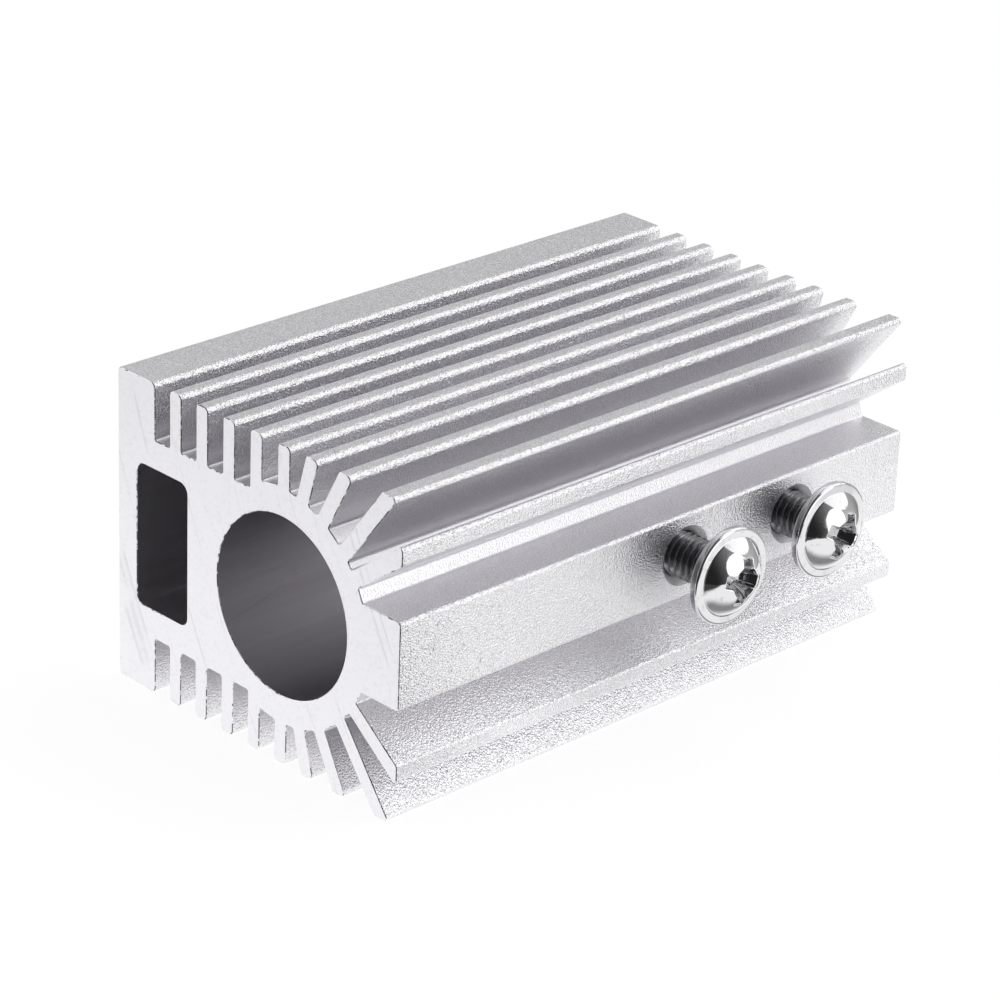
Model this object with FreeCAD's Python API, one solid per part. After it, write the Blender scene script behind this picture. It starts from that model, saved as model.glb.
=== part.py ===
import FreeCAD, Part
import math
import os

# Extruded aluminium heat sink for a round laser module, with two clamp screws.
# The origin is on the module bore's axis, at mid-length. +Y runs along the extrusion,
# +X from the mounting slab to the clamp bar, and +Z up. The sink stands on its lower fins.
# All sizes are in millimetres.

# Envelope of the extrusion
length = 45.0
height = 21.5
bore_to_base = 15.75
bore_to_bar_face = 10.7

# Module bore, and the tube wall round it
module_diameter = 12.0
module_clearance = 0.025
tube_wall = 1.9

# Mounting slab, the web that carries the upright fins, and the channel through the web
slab_thickness = 3.65
web_height = 13.8
channel_width = 4.95
channel_height = 9.85
channel_corner_radius = 0.7
channel_to_base = 1.85

# Upright fins, evenly spaced from the slab to the last one, whose middle plane passes beside
# the bore's axis by this offset
upright_fins = 5
fin_thickness = 1.1
last_fin_offset = 0.1

# Radiating fins of the upper half, which the lower half mirrors: each one's lean from the
# vertical in degrees, and how far its middle plane passes beside the bore's axis
fin_angles = [15.0, 27.75, 37.2, 53.3]
fin_offsets = [-0.23, 0.0, 1.06, 0.53]

# Clamp bar
bar_height = 5.9

# Corners that the extrusion die leaves on the fin tips and in the gaps
tip_radius = 0.25
root_radius = 0.18

# Clamp screw: shank
thread_diameter = 3.0
thread_clearance = 0.05
screw_length = 6.0
point_chamfer = 0.35
hole_chamfer = 0.2

# Clamp screw: pan head on a washer flange
flange_diameter = 6.5
flange_thickness = 0.6
flange_chamfer = 0.12
head_diameter = 5.25
head_height = 1.4
head_side_height = 0.3

# Clamp screw: cross recess, at the head's crown and at the recess floor
recess_depth = 1.45
recess_span = 3.5
recess_floor_span = 1.6
wing_thickness = 0.85
wing_floor_thickness = 0.6
throat_diameter = 1.75
throat_floor_diameter = 0.95
recess_overrun = 0.2

# Where the screws stand, the one by the far end first: its distance from that end, the
# spacing, and each one's stand-off under the flange and turn of the recess in degrees
screw_from_end = 10.5
screw_spacing = 10.0
screw_standoffs = [2.8, 3.35]
screw_angles = [-28.0, -13.0]

# Two places nearer to each other than this count as one
coincidence = 1e-6

# Sizes worked out from those above
half_length = length / 2
half_height = height / 2
half_web = web_height / 2
bore_radius = module_diameter / 2 + module_clearance
tube_radius = bore_radius + tube_wall
mid_wall_radius = bore_radius + tube_wall / 2
slab_inner = slab_thickness - bore_to_base
fin_pitch = (last_fin_offset + fin_thickness / 2 - slab_inner) / upright_fins
fin_gap = fin_pitch - fin_thickness
web_end = last_fin_offset - fin_pitch
thread_radius = thread_diameter / 2
hole_radius = thread_radius + thread_clearance
flange_radius = flange_diameter / 2
head_radius = head_diameter / 2

axis_x = FreeCAD.Vector(1, 0, 0)
axis_y = FreeCAD.Vector(0, 1, 0)
axis_z = FreeCAD.Vector(0, 0, 1)


def section_point(x, z):
    """A point of the section, in the plane of the near end."""
    return FreeCAD.Vector(x, -half_length, z)


def rectangle(x_low, x_high, z_low, z_high):
    corners = [(x_low, z_low), (x_high, z_low), (x_high, z_high), (x_low, z_high), (x_low, z_low)]
    return Part.Face(Part.makePolygon([section_point(x, z) for x, z in corners]))


def disc(radius):
    return Part.Face(Part.Wire(Part.makeCircle(radius, section_point(0, 0), axis_y)))


def extruded(face):
    return face.extrude(axis_y * length)


def upright_fin(index):
    """An upright fin, straight through from its upper tip to its lower tip."""
    left = slab_inner + fin_gap + index * fin_pitch
    return rectangle(left, left + fin_thickness, -half_height, half_height)


def upright_gap(index, side):
    """The gap on the slab side of an upright fin, from the web out past the tips."""
    left = slab_inner + index * fin_pitch
    floor, mouth = sorted((side * half_web, side * height))
    return rectangle(left, left + fin_gap, floor, mouth)


def radiating_fin(angle, offset, side):
    """A slanted fin, from inside the tube's wall out past the envelope that trims its tip."""
    fin = rectangle(offset - fin_thickness / 2, offset + fin_thickness / 2, mid_wall_radius, 2 * height)
    fin.rotate(section_point(0, 0), axis_y, angle)
    if side < 0:
        fin = fin.mirror(section_point(0, 0), axis_z)
    return fin


def fin_section():
    """The section before its holes: slab, web, tube, fins and clamp bar in one face."""
    slab = rectangle(-bore_to_base, slab_inner, -half_height, half_height)
    web = rectangle(slab_inner, web_end, -half_web, half_web)
    bar = rectangle(mid_wall_radius, bore_to_bar_face, -bar_height / 2, bar_height / 2)
    members = [web, disc(tube_radius), bar]
    members += [upright_fin(index) for index in range(upright_fins)]
    for side in (1, -1):
        members += [radiating_fin(angle, offset, side) for angle, offset in zip(fin_angles, fin_offsets)]
    envelope = rectangle(-bore_to_base, bore_to_bar_face, -half_height, half_height)
    gaps = [upright_gap(index, side) for index in range(upright_fins - 1) for side in (1, -1)]
    return slab.fuse(members).common(envelope).cut(gaps).removeSplitter()


def lengthwise_edges(solid):
    """The edges that run from end to end of the extrusion."""
    ends = [(edge, edge.Vertexes[0].Point, edge.Vertexes[-1].Point) for edge in solid.Edges]
    return [edge for edge, first, last in ends if abs(abs(last.y - first.y) - length) < coincidence]


def depth_inside(edge):
    """How far a lengthwise edge lies inside the envelope."""
    place = edge.Vertexes[0].Point
    return min(half_height - abs(place.z), bore_to_bar_face - place.x, bore_to_base + place.x)


def channel():
    """The rectangular channel with round corners that runs through the web."""
    left = channel_to_base - bore_to_base
    block = extruded(rectangle(left, left + channel_width, -channel_height / 2, channel_height / 2))
    return block.makeFillet(channel_corner_radius, lengthwise_edges(block))


def screw_distances():
    """Each screw's place along the sink, the one by the far end first."""
    return [half_length - screw_from_end - index * screw_spacing for index in range(len(screw_angles))]


def screw_hole(y):
    """A tapped hole from the clamp bar's face into the bore, with its lead-in chamfer."""
    hole = Part.makeCylinder(hole_radius, bore_to_bar_face, FreeCAD.Vector(0, y, 0), axis_x)
    start = FreeCAD.Vector(bore_to_bar_face - hole_chamfer, y, 0)
    return hole.fuse(Part.makeCone(hole_radius, hole_radius + hole_chamfer, hole_chamfer, start, axis_x))


def heat_sink():
    """The extrusion, one piece: its section cut to length, with bore, channel and screw holes."""
    body = extruded(fin_section())
    roots = [edge for edge in lengthwise_edges(body) if depth_inside(edge) > coincidence]
    body = body.makeFillet(root_radius, roots)
    tips = [edge for edge in lengthwise_edges(body) if depth_inside(edge) < coincidence]
    body = body.makeFillet(tip_radius, tips)
    holes = [screw_hole(y) for y in screw_distances()]
    return body.cut([extruded(disc(bore_radius)), channel()] + holes).Solids[0]


def profile_point(x, radius):
    """A point of the screw's profile, in the half plane that is turned about its axis."""
    return FreeCAD.Vector(x, radius, 0)


def screw_blank():
    """The screw before its recess: the flange's underside lies at x = 0, the head beyond it."""
    crown = flange_thickness + head_height
    shoulder = flange_thickness + head_side_height
    sides = Part.makePolygon([
        profile_point(crown, 0),
        profile_point(-screw_length, 0),
        profile_point(-screw_length, thread_radius - point_chamfer),
        profile_point(point_chamfer - screw_length, thread_radius),
        profile_point(0, thread_radius),
        profile_point(0, flange_radius - flange_chamfer),
        profile_point(flange_chamfer, flange_radius),
        profile_point(flange_thickness - flange_chamfer, flange_radius),
        profile_point(flange_thickness, flange_radius - flange_chamfer),
        profile_point(flange_thickness, head_radius),
        profile_point(shoulder, head_radius)])
    dome = Part.Ellipse(profile_point(shoulder, head_radius), profile_point(crown, 0), profile_point(shoulder, 0))
    edges = sides.Edges + [Part.ArcOfEllipse(dome, 0, math.pi / 2).toShape()]
    return Part.Face(Part.Wire(edges)).revolve(profile_point(0, 0), axis_x, 360)


def flared(floor_size, crown_size):
    """A recess size carried on a little past the crown, so that the cut comes out clean."""
    return floor_size + (crown_size - floor_size) * (recess_depth + recess_overrun) / recess_depth


def recess_wing():
    """One pair of opposite wings of the cross, which taper towards the recess floor."""
    floor_span, floor_width = recess_floor_span / 2, wing_floor_thickness / 2
    span = flared(recess_floor_span, recess_span) / 2
    width = flared(wing_floor_thickness, wing_thickness) / 2
    return Part.makeWedge(
        -floor_span, 0, -floor_width, -width, -span,
        floor_span, recess_depth + recess_overrun, floor_width, width, span)


def cross_recess():
    """The cutter for the recess: two pairs of wings and a cone where they meet."""
    wings = recess_wing()
    crossed = wings.copy()
    crossed.rotate(FreeCAD.Vector(0, 0, 0), axis_y, 90)
    throat = Part.makeCone(
        throat_floor_diameter / 2, flared(throat_floor_diameter, throat_diameter) / 2,
        recess_depth + recess_overrun, FreeCAD.Vector(0, 0, 0), axis_y)
    cutter = wings.fuse([crossed, throat])
    cutter.rotate(FreeCAD.Vector(0, 0, 0), axis_z, -90)
    cutter.translate(axis_x * (flange_thickness + head_height - recess_depth))
    return cutter


def clamp_screw(y, standoff, angle):
    """A clamp screw, as far out of its tapped hole as its stand-off says."""
    screw = screw_blank().cut(cross_recess()).Solids[0]
    screw.rotate(FreeCAD.Vector(0, 0, 0), axis_x, angle)
    screw.translate(FreeCAD.Vector(bore_to_bar_face + standoff, y, 0))
    return screw


def clamp_screws():
    settings = zip(screw_distances(), screw_standoffs, screw_angles)
    return Part.makeCompound([clamp_screw(y, standoff, angle) for y, standoff, angle in settings])


os.makedirs("parts", exist_ok=True)
heat_sink().exportStep("parts/heat_sink.step")
clamp_screws().exportStep("parts/clamp_screws.step")
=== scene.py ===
import bpy
import math
from mathutils import Matrix, Vector


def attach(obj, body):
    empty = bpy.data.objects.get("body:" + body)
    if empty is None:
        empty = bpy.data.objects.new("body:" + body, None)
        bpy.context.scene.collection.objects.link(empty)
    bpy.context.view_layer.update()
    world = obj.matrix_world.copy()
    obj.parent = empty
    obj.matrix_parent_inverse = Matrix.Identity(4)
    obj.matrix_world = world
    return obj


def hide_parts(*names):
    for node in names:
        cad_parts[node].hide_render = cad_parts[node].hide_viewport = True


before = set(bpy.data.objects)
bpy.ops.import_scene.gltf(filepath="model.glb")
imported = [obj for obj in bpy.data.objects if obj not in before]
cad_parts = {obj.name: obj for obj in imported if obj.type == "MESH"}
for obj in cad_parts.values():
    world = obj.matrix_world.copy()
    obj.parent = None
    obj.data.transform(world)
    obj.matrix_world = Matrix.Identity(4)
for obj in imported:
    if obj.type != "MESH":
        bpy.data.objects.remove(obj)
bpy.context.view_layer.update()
mm = 0.001

# The heat sink, one length of aluminium extrusion. The die gives the whole section at once:
# mounting slab, web, tube round the module's bore, fins and clamp bar. The extrusion is blasted and
# clear anodised, then sawn to length, and two holes are tapped through its clamp bar.

sink_length = 45.0 * mm
half_height = 10.75 * mm
slab_outer = -15.75 * mm
slab_inner = -12.1 * mm
bar_outer = 10.7 * mm
half_bar = 2.95 * mm
half_web = 6.9 * mm
bore_radius = 6.025 * mm
tube_radius = 7.925 * mm
arc_step = 0.4 * mm

fin_thickness = 1.1 * mm
fin_pitch = 2.55 * mm
last_upright = 0.1 * mm

# Each fin's lean in degrees, and how far its middle plane passes beside the bore's axis
upright_fins = [(0.0, last_upright - fin_pitch * index) for index in (4, 3, 2, 1, 0)]
slanted_fins = [(15.0, -0.23 * mm), (27.75, 0.0), (37.2, 1.06 * mm), (53.3, 0.53 * mm)]

# Left of this place the fins rise from the web, and right of it from the tube
web_end = last_upright - fin_pitch

# Fins that lean less than the given angle are rounder at the right of their tip
tip_radius = 0.25 * mm
round_tip_radius = 0.36 * mm
round_tip_lean = 30.0
root_radius = 0.18 * mm

channel_centre = -11.425 * mm
channel_size = (4.95 * mm, 9.85 * mm)
channel_corner = 0.7 * mm

hole_radius = 1.55 * mm
hole_lead = 0.5 * mm
first_hole = 12.0 * mm
hole_spacing = 10.0 * mm

# How far the drill runs on past the bar's face, and the countersink's tool into the hole
drill_overrun = 0.1 * mm
countersink_overlap = 0.05 * mm
cutter_sides = 64

# The width of the edge that the saw breaks, and the middle of the saw's blade
sawn_edge = 0.048 * mm
saw_centre = (106.0 * mm, 0.0, 52.0 * mm)

# How deep in a gap the blasting beads still reach freely, and where few of them arrive. Between these
# depths the grain weakens, and painted shade darkens the colour.
beads_reach_and_painted_shade = (0.9 * mm, 3.4 * mm)

# How near to a wall a face's middle counts as lying in it, how much of a face's normal lies along
# the sink where it is cut across, and how near two places count as one
in_wall = 0.01 * mm
cut_across = 0.99
coincidence = 0.001 * mm
sharp_edge = math.radians(30.0)

blasted_colour = (0.975, 0.965, 0.99, 1.0)
# The dark end of the grain's speckle, which also paints shade deep between the fins
dark_grain_and_painted_shade_colour = (0.60, 0.595, 0.615, 1.0)
sawn_colour = (0.955, 0.945, 0.975, 1.0)
saw_mark_colour = (0.66, 0.65, 0.67, 1.0)
dark_edge_colour = (0.10, 0.095, 0.10, 1.0)
drawn_colour = (0.84, 0.83, 0.85, 1.0)
streak_colour = (0.72, 0.71, 0.73, 1.0)


class Socket:
    """An output of a node. Arithmetic on it adds Math nodes to the node's tree."""

    def __init__(self, tree, output):
        self.tree = tree
        self.output = output

    def __getitem__(self, name):
        return Socket(self.tree, self.output.node.outputs[name])

    def __add__(self, other):
        return self.tree.math("ADD", self, other)

    def __radd__(self, other):
        return self.tree.math("ADD", other, self)

    def __sub__(self, other):
        return self.tree.math("SUBTRACT", self, other)

    def __rsub__(self, other):
        return self.tree.math("SUBTRACT", other, self)

    def __mul__(self, other):
        return self.tree.math("MULTIPLY", self, other)

    def __rmul__(self, other):
        return self.tree.math("MULTIPLY", other, self)

    def __truediv__(self, other):
        return self.tree.math("DIVIDE", self, other)

    def __rtruediv__(self, other):
        return self.tree.math("DIVIDE", other, self)

    def __mod__(self, other):
        return self.tree.math("FLOORED_MODULO", self, other)

    def __rmod__(self, other):
        return self.tree.math("FLOORED_MODULO", other, self)

    def __gt__(self, other):
        return self.tree.math("GREATER_THAN", self, other)

    def __lt__(self, other):
        return self.tree.math("LESS_THAN", self, other)

    def __abs__(self):
        return self.tree.math("ABSOLUTE", self)


class Tree:
    """A node tree that is written as Python expressions."""

    def __init__(self, tree):
        self.nodes = tree.nodes
        self.links = tree.links

    def add(self, kind, settings=None, values=()):
        """Adds a node, sets it up, then feeds its sockets in order, or by name from a dictionary."""
        node = self.nodes.new(kind)
        for name, value in (settings or {}).items():
            setattr(node, name, value)
        if isinstance(values, dict):
            fed = [(node.inputs[name], value) for name, value in values.items()]
        else:
            fed = zip([socket for socket in node.inputs if socket.enabled], values)
        for socket, value in fed:
            for item in value if isinstance(value, list) else [value]:
                if isinstance(item, Socket):
                    self.links.new(item.output, socket)
                elif item is not None:
                    socket.default_value = item
        outputs = [output for output in node.outputs if output.enabled]
        return Socket(self, outputs[0]) if outputs else None

    def math(self, operation, *values):
        return self.add("ShaderNodeMath", {"operation": operation}, values)

    def vector(self, operation, *values):
        return self.add("ShaderNodeVectorMath", {"operation": operation}, values)

    def joined(self, x=0.0, y=0.0, z=0.0):
        """A vector from its three parts."""
        return self.add("ShaderNodeCombineXYZ", values=[x, y, z])

    def parted(self, vector):
        """A vector's parts, by the names X, Y and Z."""
        return self.add("ShaderNodeSeparateXYZ", values=[vector])


class ShapeTree(Tree):
    """A Geometry Nodes tree with named sizes, run once on a base mesh."""

    def __init__(self, name, sizes):
        self.group = bpy.data.node_groups.new(name, "GeometryNodeTree")
        super().__init__(self.group)
        sockets = self.group.interface
        sockets.new_socket("Geometry", in_out="INPUT", socket_type="NodeSocketGeometry")
        sockets.new_socket("Geometry", in_out="OUTPUT", socket_type="NodeSocketGeometry")
        self.sizes = {}
        for size, value in sizes.items():
            kind = "NodeSocket" + {int: "Int", float: "Float"}.get(type(value), "Object")
            self.sizes[sockets.new_socket(size, in_out="INPUT", socket_type=kind).identifier] = value
        self.given = self.add("NodeGroupInput")

    def position(self):
        return self.parted(self.add("GeometryNodeInputPosition"))

    def normal(self):
        return self.parted(self.add("GeometryNodeInputNormal"))

    def attribute(self, name):
        return self.add("GeometryNodeInputNamedAttribute", {"data_type": "FLOAT"}, [name])

    def dressed(self, geometry, faces, material):
        """Sets a material, on all faces where faces is None."""
        return self.add("GeometryNodeSetMaterial", values={
            "Geometry": geometry, "Selection": faces, "Material": material})

    def shaded_smooth(self, geometry, sharp_from):
        """Smooth faces, with edges left sharp where they turn by more than an angle."""
        smooth = self.add("GeometryNodeSetShadeSmooth", {"domain": "FACE"}, {
            "Geometry": geometry, "Shade Smooth": True})
        return self.add("GeometryNodeSetShadeSmooth", {"domain": "EDGE"}, {
            "Geometry": smooth, "Shade Smooth": False,
            "Selection": self.add("GeometryNodeInputMeshEdgeAngle") > sharp_from})

    def made(self, geometry, name, base):
        """Runs the tree on the base mesh and gives the result as a plain mesh object."""
        self.add("NodeGroupOutput", values=[geometry])
        source = bpy.data.objects.new(name + ".base", base)
        bpy.context.scene.collection.objects.link(source)
        modifier = source.modifiers.new(name, "NODES")
        modifier.node_group = self.group
        for identifier, value in self.sizes.items():
            modifier[identifier] = value
        shown = source.evaluated_get(bpy.context.evaluated_depsgraph_get())
        piece = bpy.data.objects.new(name, bpy.data.meshes.new_from_object(shown))
        bpy.context.scene.collection.objects.link(piece)
        source.modifiers.remove(modifier)
        bpy.data.objects.remove(source)
        return piece


class Finish(Tree):
    """A material, whose patterns lie in the piece's own coordinates in metres."""

    def __init__(self, name):
        self.material = bpy.data.materials.new(name)
        self.material.use_nodes = True
        super().__init__(self.material.node_tree)
        self.nodes.clear()
        self.place = self.add("ShaderNodeTexCoord")["Object"]

    def noise(self, place, scale, detail=2.0, roughness=0.5):
        """Noise with so many grains to the metre."""
        return self.add("ShaderNodeTexNoise", values={
            "Vector": place, "Scale": scale, "Detail": detail, "Roughness": roughness})

    def rings(self, distance, scale, detail):
        """Noise that changes with a distance alone."""
        return self.add("ShaderNodeTexNoise", {"noise_dimensions": "1D"}, {
            "W": distance, "Scale": scale, "Detail": detail})

    def blend(self, factor, first, second):
        return self.add("ShaderNodeMix", {"data_type": "RGBA"}, [factor, first, second])

    def band(self, value, low, high):
        """Rises smoothly from 0 at low to 1 at high."""
        return self.add("ShaderNodeMapRange", {"interpolation_type": "SMOOTHSTEP"}, {
            "Value": value, "From Min": low, "From Max": high})

    def relief(self, height, depth):
        return self.add("ShaderNodeBump", values={"Height": height, "Distance": depth, "Strength": 1.0})

    def shade(self, **sockets):
        named = {name.replace("_", " ").title(): value for name, value in sockets.items()}
        shader = self.add("ShaderNodeBsdfPrincipled", values=named)
        self.add("ShaderNodeOutputMaterial", values={"Surface": shader})
        return self.material


def blasted_finish():
    """Bead-blasted and clear anodised: a fine grain, weaker deep between the fins, where painted shade
    also darkens the colour.
    """
    finish = Finish("blasted_anodised_aluminium")
    at = finish.parted(finish.place)
    depth = finish.math("MINIMUM", half_height - abs(at["Z"]), 0.7 * (bar_outer - at["X"]))
    depth = finish.math("MINIMUM", depth, at["X"] - slab_outer)
    deep = finish.band(depth, *beads_reach_and_painted_shade)
    exposed = 1.0 - 0.7 * deep
    grain = finish.noise(finish.place, 11500.0, 0.0)
    dents = finish.noise(finish.place, 8200.0, 0.0)
    # Painted shade: the colour darkens deep between the fins, on top of the grain's own speckle
    speckle_and_painted_shade = 0.72 + 0.56 * (finish.band(grain, 0.3, 0.7) - 0.5) * exposed - 0.19 * deep
    return finish.shade(
        base_color=finish.blend(speckle_and_painted_shade, dark_grain_and_painted_shade_colour, blasted_colour),
        metallic=1.0, roughness=0.3 + 0.06 * dents,
        normal=finish.relief((0.7 * grain + dents) * exposed, 0.048 * mm))


def sawn_finish():
    """Bare cut metal: matt, with arcs from the saw blade, a few hairlines, and rougher near the bar."""
    finish = Finish("sawn_aluminium")
    from_saw = finish.vector("DISTANCE", finish.place, saw_centre)
    arcs = finish.rings(from_saw, 5200.0, 2.0)
    lines = finish.rings(from_saw, 340.0, 0.0)
    unbroken = finish.band(finish.noise(finish.place, 260.0), 0.42, 0.6)
    hairline = (1.0 - finish.band(abs(lines - 0.5), 0.003, 0.013)) * unbroken
    grain = finish.noise(finish.place, 4200.0, 3.0, 0.65)
    near_bar = finish.band(finish.parted(finish.place)["X"], 0.0, 9.0 * mm)
    marks = 0.32 * hairline + 0.22 * finish.band(grain, 0.5, 0.75)
    height = 0.3 * arcs + grain * (0.9 + 3.0 * near_bar) - hairline
    return finish.shade(
        base_color=finish.blend(marks, sawn_colour, saw_mark_colour),
        metallic=1.0, roughness=0.5 + 0.12 * grain, normal=finish.relief(height, 0.005 * mm))


def burr_finish():
    """The edge left by the saw: a line of fine burrs in relief, and a dark colour in spots along it, more
    of it where the edge faces +X.
    """
    finish = Finish("sawn_edge_aluminium")
    teeth = finish.noise(finish.place, 1900.0, 3.0, 0.7)
    patches = finish.noise(finish.place, 210.0, 1.0)
    facing = finish.parted(finish.add("ShaderNodeNewGeometry")["Normal"])
    dark = finish.band(teeth + 0.5 * patches + 0.14 * facing["X"], 0.77, 0.87)
    return finish.shade(
        base_color=finish.blend(dark, sawn_colour, dark_edge_colour),
        metallic=1.0, roughness=0.42, normal=finish.relief(teeth, 0.03 * mm))


def drawn_finish():
    """The walls of the bore and the channel: smooth, with the die's fine lengthwise lines."""
    finish = Finish("drawn_aluminium")
    streaks = finish.noise(finish.vector("MULTIPLY", finish.place, (1.0, 0.012, 1.0)), 2400.0, 4.0, 0.6)
    patches = finish.noise(finish.vector("MULTIPLY", finish.place, (1.0, 0.2, 1.0)), 300.0)
    return finish.shade(
        base_color=finish.blend(streaks, streak_colour, drawn_colour),
        metallic=1.0, roughness=0.24 + 0.1 * patches, normal=finish.relief(streaks, 0.012 * mm))


def fin_side(lean, offset):
    """Where one side of a fin meets the web or the tube, and where it meets the sink's envelope."""
    along = Vector((math.sin(lean), math.cos(lean)))
    across = Vector((math.cos(lean), -math.sin(lean))) * offset
    if offset < web_end:
        root = Vector((offset, half_web))
    else:
        root = across + along * math.sqrt(tube_radius ** 2 - offset ** 2)
    reach = (half_height - across.y) / along.y
    if along.x > 0:
        reach = min(reach, (bar_outer - across.x) / along.x)
    return root, across + along * reach


def tube_arc(start, end):
    """Points on the tube's outside between two roots, which stay sharp."""
    first, last = math.atan2(start.y, start.x), math.atan2(end.y, end.x)
    steps = max(1, int(abs(first - last) * tube_radius / arc_step))
    turns = [first + (last - first) * step / steps for step in range(1, steps)]
    return [(tube_radius * math.cos(turn), tube_radius * math.sin(turn), 0.0) for turn in turns]


def upper_corners():
    """The upper half of the section: each corner's place, and the radius that rounds it."""
    corners = [(slab_outer, half_height, tip_radius), (slab_inner, half_height, round_tip_radius),
               (slab_inner, half_web, root_radius)]
    last_root = None
    for angle, offset in upright_fins + slanted_fins:
        lean = math.radians(angle)
        left_root, left_tip = fin_side(lean, offset - fin_thickness / 2)
        right_root, right_tip = fin_side(lean, offset + fin_thickness / 2)
        if last_root and last_root.x > web_end:
            corners += tube_arc(last_root, left_root)
        right_radius = round_tip_radius if angle < round_tip_lean else tip_radius
        corners += [(*left_root, root_radius), (*left_tip, tip_radius)]
        corners += [(*right_tip, right_radius), (*right_root, root_radius)]
        last_root = right_root
    bar_root = Vector((math.sqrt(tube_radius ** 2 - half_bar ** 2), half_bar))
    corners += tube_arc(last_root, bar_root)
    return corners + [(*bar_root, root_radius), (bar_outer, half_bar, tip_radius)]


def outline_mesh(name, corners, rounding):
    """A closed outline as a mesh of edges, with each corner's radius as an attribute."""
    mesh = bpy.data.meshes.new(name)
    count = len(corners)
    edges = [(index, (index + 1) % count) for index in range(count)]
    mesh.from_pydata([(x, y, 0.0) for x, y, _ in corners], edges, [])
    radius = mesh.attributes.new(rounding, "FLOAT", "POINT")
    for point, (_, _, corner) in zip(radius.data, corners):
        point.value = corner
    return mesh


upper = upper_corners()
lower = [(x, -y, radius) for x, y, radius in reversed(upper)]
section = outline_mesh("section", upper + lower, "corner_radius")

sink = ShapeTree("extrusion", {
    "Length": sink_length, "Edge": sawn_edge, "Corner Points": 7,
    "Bore Radius": bore_radius, "Bore Points": 144,
    "Channel Centre": channel_centre, "Channel Width": channel_size[0], "Channel Height": channel_size[1],
    "Channel Corner": channel_corner,
    "Hole Radius": hole_radius, "Hole Lead": hole_lead, "Hole Start": bar_outer,
    "First Hole": first_hole, "Hole Spacing": hole_spacing})
size = sink.given

# The section lies flat and is drawn upwards, and then the sink is laid along Y
outline = sink.add("GeometryNodeFilletCurve", {"mode": "POLY"}, {
    "Curve": sink.add("GeometryNodeMeshToCurve", values=[size]),
    "Count": size["Corner Points"], "Radius": sink.attribute("corner_radius")})
bore = sink.add("GeometryNodeCurvePrimitiveCircle", {"mode": "RADIUS"}, [
    size["Bore Points"], size["Bore Radius"]])
channel = sink.add("GeometryNodeTransform", values={
    "Geometry": sink.add("GeometryNodeFilletCurve", {"mode": "POLY"}, {
        "Curve": sink.add("GeometryNodeCurvePrimitiveQuadrilateral", {"mode": "RECTANGLE"}, [
            size["Channel Width"], size["Channel Height"]]),
        "Count": size["Corner Points"], "Radius": size["Channel Corner"]}),
    "Translation": sink.joined(size["Channel Centre"])})
sawn_face = sink.add("GeometryNodeFillCurve", {"mode": "NGONS"}, [
    sink.add("GeometryNodeJoinGeometry", values=[[outline, bore, channel]])])


def drawn_on(mesh, faces, distance):
    """Extrudes faces along the sink in one piece, all of them where faces is None."""
    return sink.add("GeometryNodeExtrudeMesh", {"mode": "FACES"}, {
        "Mesh": mesh, "Selection": faces, "Offset": sink.joined(z=distance), "Offset Scale": 1.0,
        "Individual": False})


edge = size["Edge"]
drawn = drawn_on(sawn_face, None, edge)
for distance in (size["Length"] - 2.0 * edge, edge):
    drawn = drawn_on(drawn, drawn["Top"], distance)
first_face = sink.add("GeometryNodeFlipFaces", values=[sawn_face])
solid = sink.add("GeometryNodeMergeByDistance", {"mode": "ALL"}, {
    "Geometry": sink.add("GeometryNodeJoinGeometry", values=[[drawn, first_face]]),
    "Distance": coincidence})

# The outermost rings of points are pulled in, which breaks the sawn ends' edges
place = sink.position()
facing = sink.normal()
outwards = sink.vector("NORMALIZE", sink.joined(facing["X"], facing["Y"]))
half_length = size["Length"] / 2.0
broken = sink.add("GeometryNodeSetPosition", values={
    "Geometry": solid, "Selection": abs(place["Z"] - half_length) > half_length - edge / 2.0,
    "Offset": sink.add("ShaderNodeVectorMath", {"operation": "SCALE"}, {
        "Vector": outwards, "Scale": 0.0 - edge})})
laid = sink.add("GeometryNodeTransform", values={
    "Geometry": broken, "Translation": sink.joined(y=half_length), "Rotation": (math.pi / 2, 0.0, 0.0)})


def cutter(shape, sizes, shift):
    """A round cutting tool, laid along X and moved into place."""
    return sink.add("GeometryNodeTransform", values={
        "Geometry": sink.add(shape, values={"Vertices": cutter_sides, **sizes}),
        "Translation": sink.joined(shift), "Rotation": (0.0, math.pi / 2, 0.0)})


# The drill is placed by its middle and the countersink by its narrow end, and both run on past
# the bar's face
hole_depth = size["Hole Start"]
lead = size["Hole Lead"]
drill = cutter("GeometryNodeMeshCylinder", {
    "Radius": size["Hole Radius"], "Depth": hole_depth}, hole_depth / 2.0 + drill_overrun)
countersink = cutter("GeometryNodeMeshCone", {
    "Radius Bottom": size["Hole Radius"] - countersink_overlap,
    "Radius Top": size["Hole Radius"] + 2.0 * lead - countersink_overlap,
    "Depth": 2.0 * lead}, hole_depth - lead - countersink_overlap)
hole_line = sink.add("GeometryNodeMeshLine", {"mode": "OFFSET"}, {
    "Count": 2, "Start Location": sink.joined(y=size["First Hole"]),
    "Offset": sink.joined(y=0.0 - size["Hole Spacing"])})
cutters = [sink.add("GeometryNodeRealizeInstances", values=[
    sink.add("GeometryNodeInstanceOnPoints", values={"Points": hole_line, "Instance": tool})])
    for tool in (drill, countersink)]
tapped = sink.add("GeometryNodeMeshBoolean", {"operation": "DIFFERENCE", "solver": "EXACT"}, {
    "Mesh 1": laid, "Mesh 2": cutters})

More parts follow.
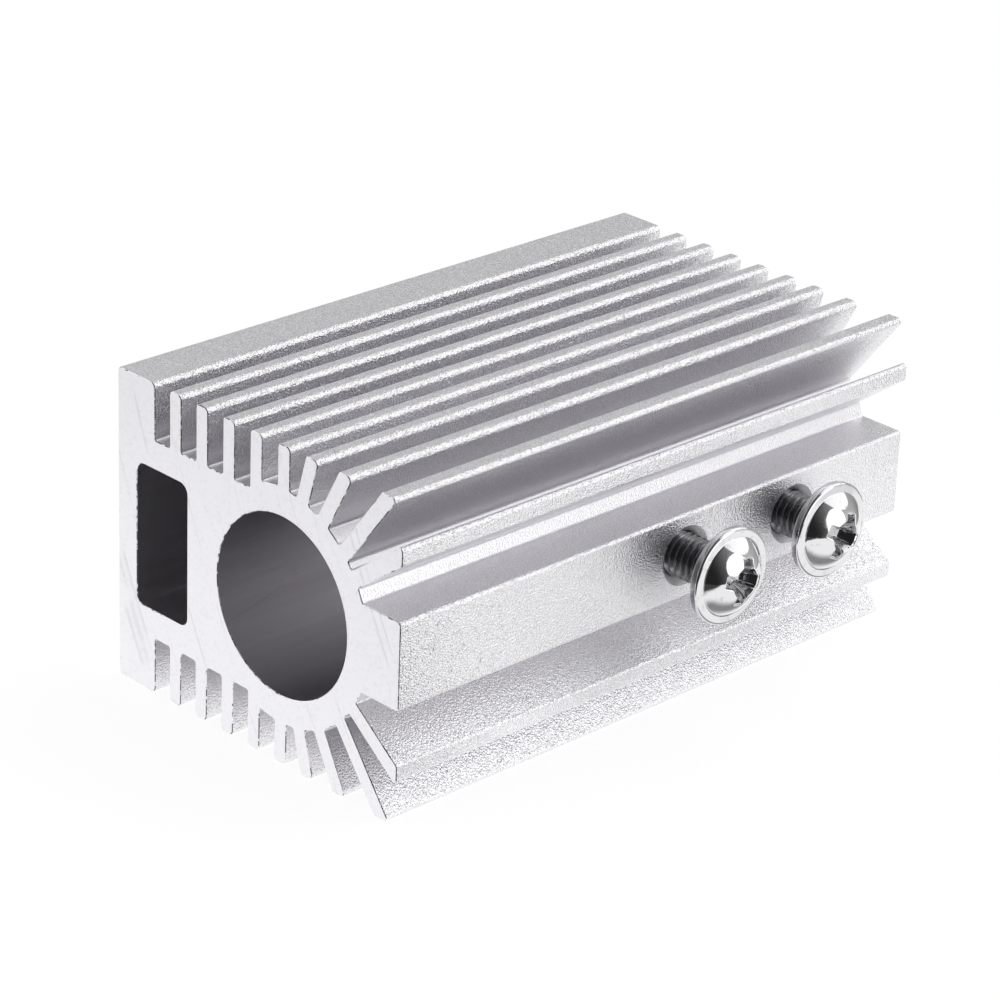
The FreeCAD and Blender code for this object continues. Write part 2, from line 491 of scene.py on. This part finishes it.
# Which faces get which finish: the drawn walls, the sawn edges, and what is cut bare
place = sink.position()
from_axis = sink.math("SQRT", place["X"] * place["X"] + place["Z"] * place["Z"])
from_channel = sink.math(
    "MAXIMUM", abs(place["X"] - size["Channel Centre"]) - size["Channel Width"] / 2.0,
    abs(place["Z"]) - size["Channel Height"] / 2.0)
half_spacing = size["Hole Spacing"] / 2.0
beside_hole = abs(place["Y"] - size["First Hole"] + half_spacing) - half_spacing
from_hole = sink.math("SQRT", beside_hole * beside_hole + place["Z"] * place["Z"])
drawn_walls = sink.math("MAXIMUM", from_axis < size["Bore Radius"] + in_wall, from_channel < in_wall)
in_hole = (from_hole < size["Hole Radius"] + lead) * (place["X"] > size["Bore Radius"])
sawn_edges = abs(place["Y"]) > (size["Length"] - edge) / 2.0 - coincidence
cut_bare = sink.math("MAXIMUM", abs(sink.normal()["Y"]) > cut_across, in_hole)
finished = sink.dressed(sink.shaded_smooth(tapped, sharp_edge), None, blasted_finish())
finished = sink.dressed(finished, drawn_walls, drawn_finish())
finished = sink.dressed(finished, sawn_edges, burr_finish())
finished = sink.dressed(finished, cut_bare, sawn_finish())
finished = sink.add("GeometryNodeRealizeInstances", values=[finished])
heat_sink = sink.made(finished, "extruded_sink", section)
weighted = heat_sink.modifiers.new("flats stay flat", "WEIGHTED_NORMAL")
weighted.keep_sharp = True
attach(heat_sink, "root")
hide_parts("heat_sink")

# The two clamp screws, M3 pan head machine screws with a washer flange, cold headed in steel,
# their cross recess punched and their thread rolled, then bright plated. They hold the module.

# Head: its flange's underside lies at 0, and its crown is part of a ball
flange_radius = 3.25 * mm
flange_top = 0.68 * mm
flange_edge = 0.2 * mm
head_radius = 2.625 * mm
shoulder = 0.73 * mm
dome_height = 1.3 * mm
head_fillet = 0.05 * mm
underside_ring = 2.2 * mm
dome_rings = 18

# Cross recess. Each pair holds a size at its floor and at the head's crown.
recess_floor = 0.55 * mm
recess_depth = 1.45 * mm
recess_rim = 0.09 * mm
half_spans = (0.8 * mm, 1.75 * mm)
half_wings = (0.3 * mm, 0.425 * mm)
throat_radii = (0.475 * mm, 1.08 * mm)
wing_end_rounding = 0.25 * mm
throat_rounding = 0.35 * mm

# A wing's half width is divided by the sine of the angle from its middle, which is at least this
smallest_sine = 0.05

# First guess of how high the recess meets the dome, as a share of its depth
mouth_share = 0.85

# Thread. Its crest's and flank's widths are shares of the pitch, and it fades in over the run-out.
thread_pitch = 0.5 * mm
thread_crest = 1.5 * mm
thread_root = 1.193 * mm
crest_share = 1 / 8
flank_share = 5 / 16
thread_start = -0.12 * mm
run_out = 0.3 * mm
screw_end = -6.0 * mm
point_radius = 1.1 * mm
point_ring = 0.5 * mm
rings_to_a_turn = 8
screw_weld = 0.002 * mm
screw_sharp_edge = math.radians(38.0)

# Painted shade: the plating gets a darker colour and is rougher on the first rings, in the recess, and a
# much darker colour and rougher still on the last ones, round the thread, where the colour also stands for
# the dark surroundings mirrored there
recess_rings = 7.0
thread_rings = 102.0
plating_colour = (0.78, 0.775, 0.79, 1.0)
recess_painted_shade_colour = (0.60, 0.595, 0.61, 1.0)
thread_painted_shade_colour = (0.27, 0.265, 0.275, 1.0)

# Where the screws stand, the near one first: stand-off, place along the sink, turn in degrees
screw_places = [(3.35 * mm, first_hole - hole_spacing, -13.0), (2.8 * mm, first_hole, -28.0)]


def plated_finish(name, colour, polish):
    """Bright plating over cold-formed steel: a mirror with slight waves and a few dull spots."""
    finish = Finish(name)
    waves = finish.noise(finish.place, 900.0)
    specks = finish.noise(finish.place, 5200.0)
    spots = finish.band(finish.noise(finish.place, 1400.0, 3.0, 0.7), 0.5, 0.72)
    dull_colour = (*(0.82 * part for part in colour[:3]), 1.0)
    return finish.shade(
        base_color=finish.blend(spots, colour, dull_colour), metallic=1.0, roughness=polish + 0.12 * spots,
        normal=finish.relief(waves + 0.08 * specks, 0.006 * mm))


def quarter_round(steps):
    """Steps of a quarter round: the share gone along one axis, and still to go along the other."""
    turns = [math.pi / 2 * step / steps for step in range(steps + 1)]
    return [(1 - math.cos(turn), 1 - math.sin(turn)) for turn in turns]


def head_rows():
    """The head's rings: recess floor, recess wall, its rounded rim, dome and flange."""
    rows = [dict(cut=1.0, inset=inset) for inset in (0.0, 0.45, 0.9)]
    rows += [dict(cut=1.0, height=height) for height in (0.05, 0.25, 0.5, 0.75, 0.95)]
    rows += [dict(cut=1.0, rim=1.0, growth=recess_rim * gone, drop=recess_rim * to_go)
             for gone, to_go in quarter_round(5)]
    rows += [dict(cut=1.0, rim=1.0, growth=recess_rim, dome=(step + 1) / dome_rings)
             for step in range(dome_rings)]
    rows += [dict(x=flange_top + head_fillet * to_go, r=head_radius + head_fillet * gone)
             for gone, to_go in quarter_round(5)]
    rows += [dict(x=flange_top - flange_edge * gone, r=flange_radius - flange_edge * to_go)
             for gone, to_go in quarter_round(6)]
    rows += [dict(x=flange_edge * to_go, r=flange_radius - flange_edge * gone)
             for gone, to_go in quarter_round(6)]
    return rows + [dict(x=0.0, r=underside_ring)]


def shank_rows():
    """The shank's rings: its neck under the flange, the thread, which the tree winds, and the point."""
    rows = [dict(x=thread_start * gone, r=thread_root - thread_start * to_go)
            for gone, to_go in quarter_round(4)]
    wound_length = thread_start - screw_end + thread_pitch
    for step in range(math.ceil(wound_length / thread_pitch * rings_to_a_turn) + 1):
        phase = (step / rings_to_a_turn + 0.5 - crest_share / 2) % 1.0
        flank = min(1.0, max(0.0, (abs(phase - 0.5) - crest_share / 2) / flank_share))
        rows.append(dict(x=thread_start - step * thread_pitch / rings_to_a_turn, thread=1.0,
                         r=thread_crest - (thread_crest - thread_root) * flank))
    return rows + [dict(x=screw_end, r=point_ring), dict(x=screw_end, r=0.0)]


def row_mesh(rows):
    """The rings as a line of points, with what shapes each ring as attributes."""
    mesh = bpy.data.meshes.new("screw_rows")
    mesh.from_pydata([(row.get("x", 0.0), row.get("r", 0.0), 0.0) for row in rows], [], [])
    usual = dict(cut=0.0, inset=1.0, height=0.0, rim=0.0, growth=0.0, drop=0.0, dome=0.0, thread=0.0)
    for name, otherwise in usual.items():
        attribute = mesh.attributes.new(name, "FLOAT", "POINT")
        for point, row in zip(attribute.data, rows):
            point.value = row.get(name, otherwise)
    return mesh


lathe = ShapeTree("headed_and_rolled_screw", {
    "Segments": 128, "Head Radius": head_radius, "Shoulder": shoulder, "Dome Height": dome_height,
    "Recess Floor": recess_floor, "Recess Depth": recess_depth, "Recess Rim": recess_rim,
    "Floor Half Span": half_spans[0], "Crown Half Span": half_spans[1],
    "Floor Half Wing": half_wings[0], "Crown Half Wing": half_wings[1],
    "Floor Throat": throat_radii[0], "Crown Throat": throat_radii[1],
    "Wing End Rounding": wing_end_rounding, "Throat Rounding": throat_rounding,
    "Thread Pitch": thread_pitch, "Thread Root": thread_root, "Thread Start": thread_start,
    "Run Out": run_out, "Screw End": screw_end, "Point Radius": point_radius})
size = lathe.given
row_count = lathe.add("GeometryNodeAttributeDomainSize", {"component": "MESH"}, [size])
rings = lathe.add("GeometryNodeMeshGrid", values=[1.0, 1.0, row_count, size["Segments"] + 1.0])
on_grid = lathe.position()
row_index = lathe.math("ROUND", (on_grid["X"] + 0.5) * (row_count - 1.0))
turn_share = on_grid["Y"] + 0.5
angle = turn_share * math.tau


def of_row(value):
    """What a row's point says, at every point of its ring."""
    return lathe.add("GeometryNodeSampleIndex", {"data_type": "FLOAT", "domain": "POINT"}, [
        size, value, row_index])


def mixed(factor, first, second):
    return lathe.add("ShaderNodeMix", {"data_type": "FLOAT"}, [factor, first, second])


from_wing = abs((angle + math.pi / 4) % (math.pi / 2) - math.pi / 4)


def recess_radius(height, growth):
    """How far out the recess's outline lies, at a height above its floor."""
    share = height / size["Recess Depth"]
    span = mixed(share, size["Floor Half Span"], size["Crown Half Span"]) + growth
    wing = mixed(share, size["Floor Half Wing"], size["Crown Half Wing"]) + growth
    throat = mixed(share, size["Floor Throat"], size["Crown Throat"]) + growth
    side = wing / lathe.math("MAXIMUM", lathe.math("SINE", from_wing), smallest_sine)
    end = span / lathe.math("COSINE", from_wing)
    cross = lathe.math("SMOOTH_MIN", side, end, size["Wing End Rounding"])
    return lathe.math("SMOOTH_MAX", cross, throat, size["Throat Rounding"])


ball = (size["Head Radius"] * size["Head Radius"] / size["Dome Height"] + size["Dome Height"]) / 2.0


def dome_surface(radius):
    """The height of the domed crown at a distance from the screw's axis."""
    rise = lathe.math("SQRT", lathe.math("MAXIMUM", ball * ball - radius * radius, 0.0))
    return size["Shoulder"] + size["Dome Height"] - ball + rise


# The recess's mouth on the dome, from the first guess of its height, which is put right once
mouth = recess_radius(mouth_share * size["Recess Depth"], 0.0)
mouth = recess_radius(dome_surface(mouth) - size["Recess Floor"], 0.0)
mouth_height = dome_surface(mouth) - size["Recess Floor"]

rim = of_row(lathe.attribute("rim"))
wall_height = of_row(lathe.attribute("height")) * (mouth_height - size["Recess Rim"])
height = mixed(rim, wall_height, mouth_height)
edge_radius = recess_radius(height, of_row(lathe.attribute("growth"))) * of_row(lathe.attribute("inset"))
edge_angle = lathe.math("ARCSINE", edge_radius / ball)
foot_angle = lathe.math("ARCSINE", size["Head Radius"] / ball)
down_dome = of_row(lathe.attribute("dome"))
dome_radius = ball * lathe.math("SINE", mixed(down_dome, edge_angle, foot_angle))
cut_radius = mixed(down_dome > 0.0, edge_radius, dome_radius)
rim_place = dome_surface(cut_radius) - of_row(lathe.attribute("drop"))
cut_place = mixed(rim, size["Recess Floor"] + height, rim_place)

# The shank's rings are wound into the thread, which fades in at the neck and ends in a chamfer
threaded = of_row(lathe.attribute("thread"))
row_place = lathe.position()
along = of_row(row_place["X"]) + threaded * size["Thread Pitch"] * turn_share
held = lathe.math("MINIMUM", lathe.math("MAXIMUM", along, size["Screw End"]), size["Thread Start"])
along = mixed(threaded, along, held)
fade = lathe.math("MINIMUM", (size["Thread Start"] - along) / size["Run Out"], 1.0)
turned_radius = of_row(row_place["Y"])
rolled_radius = size["Thread Root"] + (turned_radius - size["Thread Root"]) * fade
pointed_radius = along - size["Screw End"] + size["Point Radius"]
rolled_radius = lathe.math("MINIMUM", rolled_radius, pointed_radius)
plain_radius = mixed(threaded, turned_radius, rolled_radius)

bright_steel = plated_finish("bright_plated_steel", plating_colour, 0.06)
# The darker colours of the recess and of the thread are painted shade
recess_steel_painted_shade = plated_finish("plated_steel_painted_shade_in_recess", recess_painted_shade_colour, 0.14)
thread_steel_painted_shade = plated_finish("plated_steel_painted_shade_in_thread", thread_painted_shade_colour, 0.18)
plated = lathe.dressed(rings, None, bright_steel)
plated = lathe.dressed(plated, row_index < recess_rings, recess_steel_painted_shade)
plated = lathe.dressed(plated, row_index > row_count - thread_rings, thread_steel_painted_shade)

cut = of_row(lathe.attribute("cut"))
radius = mixed(cut, plain_radius, cut_radius)
sideways = radius * lathe.math("COSINE", angle)
upwards = radius * lathe.math("SINE", angle)
turned = lathe.add("GeometryNodeSetPosition", values={
    "Geometry": plated, "Position": lathe.joined(mixed(cut, along, cut_place), sideways, upwards)})
closed = lathe.add("GeometryNodeMergeByDistance", {"mode": "ALL"}, {
    "Geometry": turned, "Distance": screw_weld})
screw_shape = lathe.shaded_smooth(closed, screw_sharp_edge)
one_screw = lathe.made(screw_shape, "one_screw", row_mesh(head_rows() + shank_rows()))

stands = bpy.data.meshes.new("screw_places")
stands.from_pydata([(bar_outer + standoff, y, 0.0) for standoff, y, _ in screw_places], [], [])
turn = stands.attributes.new("turn", "FLOAT", "POINT")
for point, (_, _, degrees) in zip(turn.data, screw_places):
    point.value = math.radians(degrees)
fitting = ShapeTree("screws_in_their_holes", {"Screw": one_screw})
fitted = fitting.add("GeometryNodeRealizeInstances", values=[
    fitting.add("GeometryNodeInstanceOnPoints", values={
        "Points": fitting.given, "Rotation": fitting.joined(fitting.attribute("turn")),
        "Instance": fitting.add("GeometryNodeObjectInfo", values=[fitting.given["Screw"]])["Geometry"]})])
clamp_screws = fitting.made(fitted, "clamp_screw_pair", stands)
bpy.data.objects.remove(one_screw)
weighted = clamp_screws.modifiers.new("flats stay flat", "WEIGHTED_NORMAL")
weighted.keep_sharp = True
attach(clamp_screws, "root")
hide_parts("clamp_screws")

# The studio: a round white table, two round softboxes, one on the right and one above and behind,
# and a room that glows softly except on the camera's side, which stays dark as in the photograph.

table_radius = 55.0 * mm
table_sides = 96
white = (1.0, 1.0, 1.0, 1.0)
table_colour = (0.9, 0.9, 0.9, 1.0)

# The camera's axes, place and lens, fitted to the sink's corners in the photograph
camera_right = (0.69149, 0.72145, 0.03675)
camera_up = (-0.32254, 0.26283, 0.90934)
camera_back = (0.64638, -0.64065, 0.41444)
camera_place = (0.155459, -0.158175, 0.101498)
focal_length = 135.73

# How bright the dark side is, and for each glow its strength, its direction and how narrow it is
dark_level = 0.02
glows = [(0.44, (-0.65, 0.64, 0.41), 3.0), (0.35, (0.55, 0.72, 0.42), 2.0),
         (0.7, (0.65, 0.64, -0.35), 5.5), (1.35, (-0.85, -0.5, 0.1), 2.2)]

# For each softbox its direction, distance, diameter in metres, and radiance
right_softbox = ((0.927, 0.293, 0.241), 0.5, 0.46, 1.25)
upper_softbox = ((0.20, 0.62, 0.75), 0.5, 0.66, 0.9)

turns = [math.tau * side / table_sides for side in range(table_sides)]
rim_points = [(table_radius * math.cos(turn), table_radius * math.sin(turn), -half_height)
              for turn in turns]
table_mesh = bpy.data.meshes.new("table")
table_mesh.from_pydata(rim_points, [], [range(table_sides)])
table = bpy.data.objects.new("table", table_mesh)
bpy.context.scene.collection.objects.link(table)


def table_finish():
    """White paper, which metal mirrors with a painted shadow beside the screws and off the near right
    corner.
    """
    paper = Finish("white_table")
    at = paper.parted(paper.place)
    # Painted shadow, seen only in metal: the table's glow is dimmed where the sink's own shadow falls
    painted_shadow_by_screws = paper.band(at["X"], 13.0 * mm, 17.0 * mm) * paper.band(at["Y"], -8.0 * mm, -2.0 * mm)
    painted_shadow_by_screws = painted_shadow_by_screws * (1.0 - paper.band(at["X"], 18.5 * mm, 23.5 * mm))
    painted_shadow_by_screws = painted_shadow_by_screws * (1.0 - paper.band(at["Y"], 19.0 * mm, 25.0 * mm))
    painted_shadow_off_corner = paper.band(at["X"], 12.0 * mm, 20.0 * mm)
    painted_shadow_off_corner = painted_shadow_off_corner * (1.0 - paper.band(at["Y"], -16.0 * mm, -11.0 * mm))
    clear_of_painted_shadow = (1.0 - 0.75 * painted_shadow_by_screws) * (1.0 - 0.95 * painted_shadow_off_corner)
    path = paper.add("ShaderNodeLightPath")
    in_metal = path["Is Glossy Ray"]
    glowing = paper.add("ShaderNodeEmission", values={
        "Color": white, "Strength": 1.15 * (1.0 - in_metal * (1.0 - clear_of_painted_shadow))})
    shadowed = paper.add("ShaderNodeBsdfDiffuse", values={"Color": table_colour})
    glow_share = 0.78 * path["Is Camera Ray"] + (1.0 - 0.15 * clear_of_painted_shadow) * in_metal
    surface = paper.add("ShaderNodeMixShader", values=[glow_share, shadowed, glowing])
    paper.add("ShaderNodeOutputMaterial", values={"Surface": surface})
    return paper.material


table.data.materials.append(table_finish())

camera = bpy.data.objects.new("camera", bpy.data.cameras.new("camera"))
bpy.context.scene.collection.objects.link(camera)
bpy.context.scene.camera = camera
camera.matrix_world = Matrix((
    (*camera_right, 0.0), (*camera_up, 0.0), (*camera_back, 0.0), (*camera_place, 1.0))).transposed()
camera.data.lens = focal_length
camera.data.sensor_width = 36.0
camera.data.clip_start = 0.01


def softbox(name, direction, distance, diameter, radiance):
    """A round area lamp that looks at the sink from a direction."""
    lamp = bpy.data.objects.new(name, bpy.data.lights.new(name, "AREA"))
    bpy.context.scene.collection.objects.link(lamp)
    lamp.data.shape = "DISK"
    lamp.data.size = diameter
    lamp.data.energy = radiance * math.pi * math.pi * diameter ** 2 / 4
    towards = Vector(direction).normalized()
    lamp.location = towards * distance
    lamp.rotation_euler = towards.to_track_quat("Z", "Y").to_euler()
    lamp.visible_camera = False


softbox("right_softbox", *right_softbox)
softbox("upper_softbox", *upper_softbox)

world = bpy.data.worlds.new("studio")
bpy.context.scene.world = world
world.use_nodes = True
world.node_tree.nodes.clear()
air = Tree(world.node_tree)
direction = air.vector("NORMALIZE", air.add("ShaderNodeTexCoord")["Generated"])
level = dark_level
for strength, centre, narrowness in glows:
    aligned = air.vector("DOT_PRODUCT", direction, Vector(centre).normalized())["Value"]
    level = level + strength * air.math("POWER", air.math("MAXIMUM", aligned, 0.0), narrowness)
seen = air.add("ShaderNodeLightPath")["Is Camera Ray"]
brightness = air.add("ShaderNodeMix", {"data_type": "FLOAT"}, [seen, level, 1.0])
background = air.add("ShaderNodeBackground", values={"Color": white, "Strength": brightness})
air.add("ShaderNodeOutputWorld", values={"Surface": background})
bpy.context.scene.view_settings.view_transform = "Standard"
bpy.context.scene.cycles.glossy_bounces = 10
